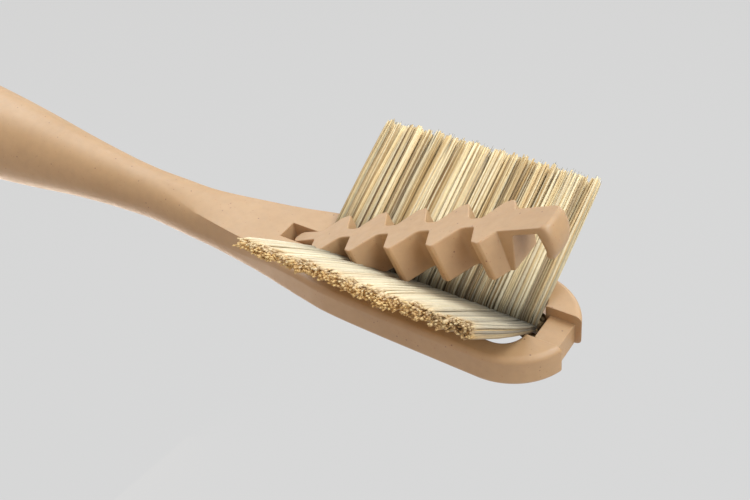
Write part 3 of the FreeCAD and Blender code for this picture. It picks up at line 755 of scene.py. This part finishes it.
# Blunt fan: share of painted light on upper strands, of warm painted shade on lower ones, and the
# offset under which that shade falls
PAINTED_LIGHT_SHARE, WARM_SHADE_SHARE, WARM_SHADE_BELOW = 0.7, 0.6, 0.1
GREY_START, GREY_WIDTH, GREY_RANGE = 21.5, 6, (0.35, 1.0)
TIP_LIGHT, WHISKER_FADE = ([0.90, 1.0], [0, 0.5]), ([0.82, 0.95], [0, 1])


def between(first, second, share):
    """Mix two colours: first x (1 - share) + second x share."""
    return first * (1 - share) + second * share


def strand_colours(rng, kind, roots):
    """Colour of each ring of each strand.

    A tint mixes the lock's colour with the strand's own, darkened off the lock's middle as
    painted shade in the gaps between locks. In the blunt fan the upper strands are painted pale as
    painted light, the lower ones warm as painted shade, and those at the open end grey. Painted
    shade darkens the tint near the root, and the last stretch of a strand shows a lighter tip.
    """
    count = len(roots.x)
    lock_tint = PALETTE[rng.choice(len(PALETTE), LOCKS, p=PALETTE_SHARES)][roots.lock]
    own_tint = PALETTE[rng.choice(len(PALETTE), count, p=PALETTE_SHARES)]
    tint = between(own_tint, lock_tint, LOCK_SHARE) * rng.uniform(*TINT_RANGE, (count, 1))
    # Painted shade: strands off a lock's middle are darkened, as if shaded in the gap between
    # locks
    gap_shade_share = np.clip(np.abs(roots.apart) / GAP_REACH, 0, 1) ** 2
    tint = tint * (1 - PAINTED_GAP_SHADE * gap_shade_share)[:, None]
    if kind.blunt:
        # Painted light on the upper strands, and warm painted shade on the lower ones
        upper = np.clip(TOP_OFFSET + roots.offset, 0, 1)[:, None]
        tint = between(tint, PAINTED_LIGHT_STRAW, PAINTED_LIGHT_SHARE * upper)
        warm_shade = between(tint, WARM_SHADE_STRAW, WARM_SHADE_SHARE)
        tint = np.where(roots.offset[:, None] < WARM_SHADE_BELOW, warm_shade, tint)
        open_end = np.clip((roots.x - GREY_START) / GREY_WIDTH, 0, 1)
        greyed = (open_end * rng.uniform(*GREY_RANGE, count))[:, None]
        tint = between(tint, GREY_STRAW, greyed)
    # Painted shade: the tint darkens towards the root, near the crease under the clamp
    colour = tint[:, None] * np.interp(WAY_SHARES, *kind.painted_shade)[:, None]
    tip_light = np.interp(WAY_SHARES, *TIP_LIGHT)[:, None]
    tip = TIP_PALETTE[rng.integers(0, len(TIP_PALETTE), count)][:, None] * kind.tip_tint
    colour = between(colour, tip, tip_light)
    tip_grey = np.interp(WAY_SHARES, *WHISKER_FADE)[:, None]
    colour = between(colour, WHISKER_GREY, roots.whisker[:, None, None] * tip_grey)
    return np.clip(colour, 0, 1)


def store_colours(piece, colours):
    """Store one colour for each point of a mesh, for the fibre's finish to read."""
    shades = piece.data.color_attributes.new("strand", "FLOAT_COLOR", "POINT")
    rgba = np.concatenate([colours.reshape(-1, 3), np.ones((colours.size // 3, 1))], axis=1)
    shades.data.foreach_set("color", rgba.astype(np.float32).ravel())


print("tints", len(PALETTE), "and at the tips", len(TIP_PALETTE))

# %% Two fans of strands


def fan(name, kind, count):
    """One fan: a tube of five sides round each centre line, with a colour for each point.

    A tube's points are the line + radius x (cos x the crease's direction + sin x the
    direction off the fan), and the radius is a strand's own body x the taper on its way.
    """
    rng = np.random.default_rng(kind.seed)
    roots = strand_roots(rng, kind, count)
    lines, off = strand_lines(rng, kind, roots)
    body = rng.uniform(*STRAND_RADII, (count, 1))
    thin, usual = np.interp(WAY_SHARES, *WHISKER_TAPER), np.interp(WAY_SHARES, *kind.taper)
    radius = body * np.where(roots.whisker[:, None], thin, usual)
    turn = even_turn(SIDES)[:, None]
    circle = np.cos(turn) * [1.0, 0.0, 0.0] + np.sin(turn) * off
    points = lines[:, :, None] + radius[..., None, None] * circle
    piece = add_tubes(name, points, inside_out=kind.side > 0)
    settle(piece)
    colours = strand_colours(rng, kind, roots)[:, :, None]
    store_colours(piece, np.broadcast_to(colours, points.shape))
    piece.data.shade_smooth()
    return piece


rear_fan = fan("rear_fan", REAR, STRANDS)
front_fan = fan("front_fan", FRONT, STRANDS)
for piece, body, nodes in (
    (rear_fan, "rear_bristles", "rear_tuft_%d"),
    (front_fan, "front_bristles", "front_tuft_%d"),
):
    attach(piece, body)
    for number in range(1, 10):
        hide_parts(nodes % number)
print("faces in one fan", len(rear_fan.data.polygons))

# %% [markdown]
# ### Folded roots
# Under the crease the fibres are folded back on themselves. Little light gets there, and the
# bundle's colour is painted nearly black as painted shade, so only a dark bundle shows in the
# corner of the ring. It is a handful of thin tubes that run along the crease, each with a slow
# bend of its own: a slim bundle over the whole length, which fits the groove under the clamp's
# bar, and a wider one at the open end.

# %% Bundle under the crease
ROOT_TAPER = [0, 0.02, 0.98, 1], [0.5, 1, 1, 0.5]
ROOT_SHORTER, WAVES, WAVE_SHARE = 0.5, (9, 7), 0.3
# Painted shade of the folded roots: a dark tint, times a random level in this range
ROOT_PAINTED_SHADES, ROOT_PAINTED_SHADE_TINT = (0.35, 1.0), [0.17, 0.11, 0.05]


def root_bundle(name, seed, count, middle, half, radius, first_x, last_x, steps=26, sides=6):
    """Tubes along x: centre = a random place in an ellipse + a slow sine along the tube."""
    rng = np.random.default_rng(seed)
    spin, far = rng.uniform(0, 2 * math.pi, (2, count))
    far = np.sqrt(far / (2 * math.pi))
    t = np.linspace(0, 1, steps)[None, :, None]
    x = first_x + (last_x - first_x - rng.uniform(0, ROOT_SHORTER, (count, 1, 1))) * t
    wave = rng.uniform(0, 2 * math.pi, (count, 1, 1))
    across = middle[0] + half[0] * (far * np.cos(spin))[:, None, None]
    upright = middle[1] + half[1] * (far * np.sin(spin))[:, None, None]
    y = across + WAVE_SHARE * radius * np.sin(WAVES[0] * t + wave)
    z = upright + WAVE_SHARE * radius * np.cos(WAVES[1] * t + wave)
    ring = even_turn(sides)
    radius = radius * np.interp(t, *ROOT_TAPER)
    points = np.stack([x + 0 * ring, y + radius * np.cos(ring), z + radius * np.sin(ring)], -1)
    piece = add_tubes(name, points)
    weld(piece)
    settle(piece)
    # Painted shade: each root tube gets the dark tint at its own random level
    painted_shade = rng.uniform(*ROOT_PAINTED_SHADES, count)[:, None, None, None]
    store_colours(piece, np.broadcast_to(painted_shade * ROOT_PAINTED_SHADE_TINT, points.shape))
    piece.data.shade_smooth()
    return piece


end_roots = root_bundle("end_roots", seed=13, count=26, middle=(0.95, -1.95),
                        half=(1.7, 0.75), radius=0.30, first_x=26.6, last_x=29.45)
crease_roots = root_bundle("crease_roots", seed=14, count=12, middle=(0.0, -2.45),
                           half=(0.12, 0.45), radius=0.18, first_x=2.7, last_x=27.6)
for piece in (end_roots, crease_roots):
    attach(piece, "mat")
print("folded roots' faces", len(end_roots.data.polygons) + len(crease_roots.data.polygons))

# %% [markdown]
# ### Binding
# The fibres are bound along the crease. Only a dark line of it shows. It is drawn as a cord
# of twisted strands: each strand's centre turns round the cord's axis as it runs along it.

# %% Twisted binding


def twisted_cord(name, start, length, core, strands, radius, turns, steps=90, sides=8):
    """Strands wound round an axis along x: centre = axis + core x (cos, sin) of the turn."""
    t = np.linspace(0, 1, steps)[None, :, None]
    phase = (2 * math.pi * np.arange(strands) / strands)[:, None, None]
    spin = phase + 2 * math.pi * turns * t
    ring = even_turn(sides)
    y = start[1] + core * np.cos(spin) + radius * np.cos(ring)
    z = start[2] + core * np.sin(spin) + radius * np.sin(ring)
    x = start[0] + length * t + 0 * y
    cord = add_tubes(name, np.stack([x, y, z], -1))
    weld(cord)
    settle(cord)
    cord.data.shade_smooth()
    return cord


binding = twisted_cord("binding", start=(17.6, 0.0, -1.45), length=10.0, core=0.15, strands=3,
                       radius=0.14, turns=7)
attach(binding, "mat")
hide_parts("crease_binding")
print("binding faces", len(binding.data.polygons))

# %% [markdown]
# ## Finishes
# The plastic is a warm beige, satin, with sparse fine specks from recycled material. A shader
# of noise at several scales gives it slow changes of tone, the specks and a barely rough
# skin. The edges of a moulding are never razor sharp, so the normals are rounded there.

# %% Plastic


def nodes_of(name):
    """Return a new material with its node tree and its principled shader."""
    material = bpy.data.materials.new(name)
    material.use_nodes = True
    tree = material.node_tree
    shader = next(node for node in tree.nodes if node.type == "BSDF_PRINCIPLED")
    return material, tree, shader


def add_node(tree, kind, **values):
    """Add a shader node and set its values: names of sockets, or properties."""
    node = tree.nodes.new(kind)
    for key, number in values.items():
        if key in node.inputs:
            node.inputs[key].default_value = number
        else:
            setattr(node, key, number)
    return node


def set_sockets(node, values):
    """Set a node's sockets from a table of their names and values."""
    for key, value in values.items():
        node.inputs[key].default_value = value


def own_place(tree):
    """Coordinates of the object itself, so that a pattern stays on a piece when it moves."""
    return add_node(tree, "ShaderNodeTexCoord").outputs["Object"]


def noise(tree, place, scale, detail=3.0, roughness=0.5):
    """Add noise at a scale in patterns per metre."""
    node = add_node(tree, "ShaderNodeTexNoise", Scale=scale, Detail=detail, Roughness=roughness)
    tree.links.new(place, node.inputs["Vector"])
    return node.outputs["Fac"]


def ramp(tree, factor, stops):
    """Turn a factor into a colour through stops of (place, colour)."""
    node = tree.nodes.new("ShaderNodeValToRGB")
    tree.links.new(factor, node.inputs["Fac"])
    elements = node.color_ramp.elements
    while len(elements) < len(stops):
        elements.new(0.5)
    for element, (place, colour) in zip(elements, stops):
        element.position = place
        element.color = (*colour, 1.0)
    return node.outputs["Color"]


def mix(tree, factor, first, second, blend="MIX"):
    """Mix two colours by a factor, each a socket or a plain colour."""
    node = tree.nodes.new("ShaderNodeMix")
    node.data_type = "RGBA"
    node.blend_type = blend
    sockets = node.inputs[0], node.inputs[6], node.inputs[7]
    for socket, given in zip(sockets, (factor, first, second)):
        if isinstance(given, bpy.types.NodeSocket):
            tree.links.new(given, socket)
        elif isinstance(given, (int, float)):
            socket.default_value = given
        else:
            socket.default_value = (*given, 1.0)
    return node.outputs[2]


def grey(level):
    """Neutral colour of one level."""
    return (level, level, level)


BEIGES = (0.468, 0.272, 0.132), (0.508, 0.301, 0.152)
# Kinds of speck: cells per metre, share of cells with a speck, its size in a cell and colour.
# A speck is solid up to a share of its size, and cells are chosen over a narrow step.
SPECK_CORE_SHARE, CHOICE_STEP = 0.6, 0.02
SPECKS = (
    (1300.0, 0.25, 0.15, (0.26, 0.12, 0.06)),
    (2300.0, 0.27, 0.20, (0.42, 0.21, 0.10)),
)


def moulded_plastic(name):
    """Warm beige satin plastic with slow tone changes, fine specks and soft edges."""
    material, tree, shader = nodes_of(name)
    place = own_place(tree)
    tone = ramp(tree, noise(tree, place, 90.0), [(0.35, BEIGES[0]), (0.65, BEIGES[1])])
    clouds = noise(tree, place, 900.0, detail=4.0, roughness=0.6)
    cloud = ramp(tree, clouds, [(0.30, grey(0.93)), (0.60, grey(1.0))])
    colour = mix(tree, 1.0, tone, cloud, "MULTIPLY")
    for scale, share, size, speck in SPECKS:
        cells = add_node(tree, "ShaderNodeTexVoronoi", Scale=scale)
        tree.links.new(place, cells.inputs["Vector"])
        stops = [(size * SPECK_CORE_SHARE, grey(1.0)), (size, grey(0.0))]
        dot = ramp(tree, cells.outputs["Distance"], stops)
        stops = [(share, grey(1.0)), (share + CHOICE_STEP, grey(0.0))]
        chosen = ramp(tree, cells.outputs["Color"], stops)
        colour = mix(tree, mix(tree, 1.0, dot, chosen, "MULTIPLY"), colour, speck)
    tree.links.new(colour, shader.inputs["Base Color"])
    skin = noise(tree, place, 1200.0, detail=4.0)
    rough = ramp(tree, skin, [(0.3, grey(0.40)), (0.7, grey(0.52))])
    tree.links.new(rough, shader.inputs["Roughness"])
    set_sockets(shader, {"Subsurface Weight": 0.12, "Subsurface Radius": (1.0, 0.55, 0.35),
                         "Subsurface Scale": 0.0008, "IOR": 1.60})
    soft = add_node(tree, "ShaderNodeBevel", samples=6, Radius=0.00016)
    bump = add_node(tree, "ShaderNodeBump", Strength=0.12, Distance=0.00004)
    grain = noise(tree, place, 4200.0, roughness=0.6)
    tree.links.new(grain, bump.inputs["Height"])
    tree.links.new(soft.outputs["Normal"], bump.inputs["Normal"])
    tree.links.new(bump.outputs["Normal"], shader.inputs["Normal"])
    return material


plastic = moulded_plastic("moulded_plastic")
clamp_plastic = moulded_plastic("clamp_plastic")
for piece, finish in ((moulding, plastic), (clamp, clamp_plastic)):
    piece.data.materials.clear()
    piece.data.materials.append(finish)
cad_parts["hinge_pin"].data.materials.clear()
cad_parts["hinge_pin"].data.materials.append(plastic)
print("plastic has", len(plastic.node_tree.nodes), "nodes")

# %% [markdown]
# ### Fibre and binding
# Split plant fibre is pale straw with a silky sheen. Each strand's own colour is stored in
# the mesh, and fine noise breaks it up along the strand.

# %% Fibre


def fibre(name):
    """Silky plant fibre: the strand's stored colour, broken up by fine noise."""
    material, tree, shader = nodes_of(name)
    stored = add_node(tree, "ShaderNodeVertexColor", layer_name="strand").outputs["Color"]
    fine = noise(tree, own_place(tree), 1800.0)
    streak = ramp(tree, fine, [(0.30, (0.94, 0.92, 0.88)), (0.62, grey(1.0))])
    tree.links.new(mix(tree, 1.0, stored, streak, "MULTIPLY"), shader.inputs["Base Color"])
    set_sockets(shader, {"Roughness": 0.45, "Specular IOR Level": 0.22, "IOR": 1.50})
    return material


def dark_thread(name):
    """Matt dark grey thread with a slight change of tone along it."""
    material, tree, shader = nodes_of(name)
    fine = noise(tree, own_place(tree), 2500.0)
    tone = ramp(tree, fine, [(0.35, (0.030, 0.029, 0.028)), (0.65, (0.085, 0.08, 0.075))])
    tree.links.new(tone, shader.inputs["Base Color"])
    set_sockets(shader, {"Roughness": 0.6})
    return material


strand_finish = fibre("fibre")
for piece in (rear_fan, front_fan, end_roots, crease_roots):
    piece.data.materials.append(strand_finish)
thread = dark_thread("binding_thread")
binding.data.materials.append(thread)
print("fibre has", len(strand_finish.node_tree.nodes), "nodes, thread",
      len(thread.node_tree.nodes))

# %% [markdown]
# ## Floor and light
# The brush hangs in the air above a pale floor, so no shadow falls next to it. Cool soft lamps
# stand behind it, beside it and beyond its end, and light its tops. Warm surroundings light
# the sides, and a small warm lamp below the handle lights its underside. The camera and the
# mirror rays see a plain grey in place of the surroundings, so the backdrop's tone can be
# chosen without a change of light on the brush.

# %% Floor
BACKDROP, FLOOR_SHARE = grey(0.672), 0.94
FLOOR_HALF, FLOOR_HEIGHT = 6000.0, -320.0


def flat_square(name, half, height):
    """Square of four points round the part, at a height, all in millimetres."""
    corners = [(x * half, y * half, height) for x, y in ((-1, -1), (1, -1), (1, 1), (-1, 1))]
    square = add_piece(name, corners, [[0, 1, 2, 3]])
    settle(square)
    return square


def seen_share(tree, share):
    """Factor that is a share for rays seen by the camera, straight or by mirror, and else 0."""
    path = add_node(tree, "ShaderNodeLightPath")
    total = path.outputs["Is Camera Ray"]
    for kind in ("Is Glossy Ray", "Is Transmission Ray"):
        step = add_node(tree, "ShaderNodeMath", operation="ADD", use_clamp=True)
        tree.links.new(total, step.inputs[0])
        tree.links.new(path.outputs[kind], step.inputs[1])
        total = step.outputs[0]
    scaled = add_node(tree, "ShaderNodeMath", operation="MULTIPLY")
    scaled.inputs[1].default_value = share
    tree.links.new(total, scaled.inputs[0])
    return scaled.outputs[0]


def show_backdrop(tree, lit, kind, share):
    """Mix the backdrop's plain grey over what a tree shows, for a share of the seen rays."""
    plain = add_node(tree, kind, Color=(*BACKDROP, 1.0), Strength=1.0)
    both = add_node(tree, "ShaderNodeMixShader")
    tree.links.new(seen_share(tree, share), both.inputs["Fac"])
    tree.links.new(lit.outputs[0], both.inputs[1])
    tree.links.new(plain.outputs[0], both.inputs[2])
    output = next(node for node in tree.nodes if node.type.startswith("OUTPUT_"))
    tree.links.new(both.outputs[0], output.inputs["Surface"])


floor = flat_square("floor", FLOOR_HALF, FLOOR_HEIGHT)
floor_paint, tree, shader = nodes_of("floor_paint")
set_sockets(shader, {"Base Color": (*grey(0.70), 1.0), "Roughness": 0.9})
show_backdrop(tree, shader, "ShaderNodeEmission", FLOOR_SHARE)
floor.data.materials.append(floor_paint)
print("floor", round(2 * FLOOR_HALF / 1000, 1), "m wide")

# %% Lamps
LAMP_TINT, WARM_TINT, ROOM_TINT, ROOM_STRENGTH = (
    (0.82, 0.94, 1.0), (1.0, 0.82, 0.66), (1.0, 0.925, 0.83), 0.60)


def soft_lamp(name, place, aim, width, power, tint):
    """Square lamp at a place in metres that shines at a point."""
    light = bpy.data.lights.new(name, "AREA")
    light.shape = "SQUARE"
    light.size, light.energy, light.color = width, power, tint
    lamp = add_object(name, light)
    way = (Vector(aim) - Vector(place)).to_track_quat("-Z", "Y").to_matrix().to_4x4()
    lamp.matrix_world = Matrix.Translation(Vector(place)) @ way
    return lamp


# Each lamp: its name, its place, how far along the brush it aims, its width and its power
for name, place, aim, width, power in (
    ("back_lamp", (-0.29, 0.38, 0.42), 0.0, 0.32, 0.70),
    ("side_lamp", (-0.62, 0.24, 0.30), -0.08, 0.36, 1.2),
    ("end_lamp", (0.24, 0.20, 0.48), 0.0, 0.26, 2.15),
    ("low_back_lamp", (-0.05, 0.60, 0.16), -0.03, 0.40, 0.9),
    ("right_lamp", (0.47, -0.08, 0.30), 0.0, 0.30, 1.35),
    ("floor_lamp", (-0.34, 0.03, -0.26), -0.10, 0.22, 0.5),
    ("handle_lamp", (-0.42, 0.10, 0.45), -0.12, 0.30, 0.35),
):
    tint = WARM_TINT if name == "floor_lamp" else LAMP_TINT
    soft_lamp(name, place, (aim, 0.0, 0.0), width, power, tint)
world = bpy.data.worlds.new("studio")
bpy.context.scene.world = world
world.use_nodes = True
room = next(node for node in world.node_tree.nodes if node.type == "BACKGROUND")
set_sockets(room, {"Color": (*ROOM_TINT, 1.0), "Strength": ROOM_STRENGTH})
show_backdrop(world.node_tree, room, "ShaderNodeBackground", 1.0)
bpy.context.scene.view_settings.view_transform = "Standard"
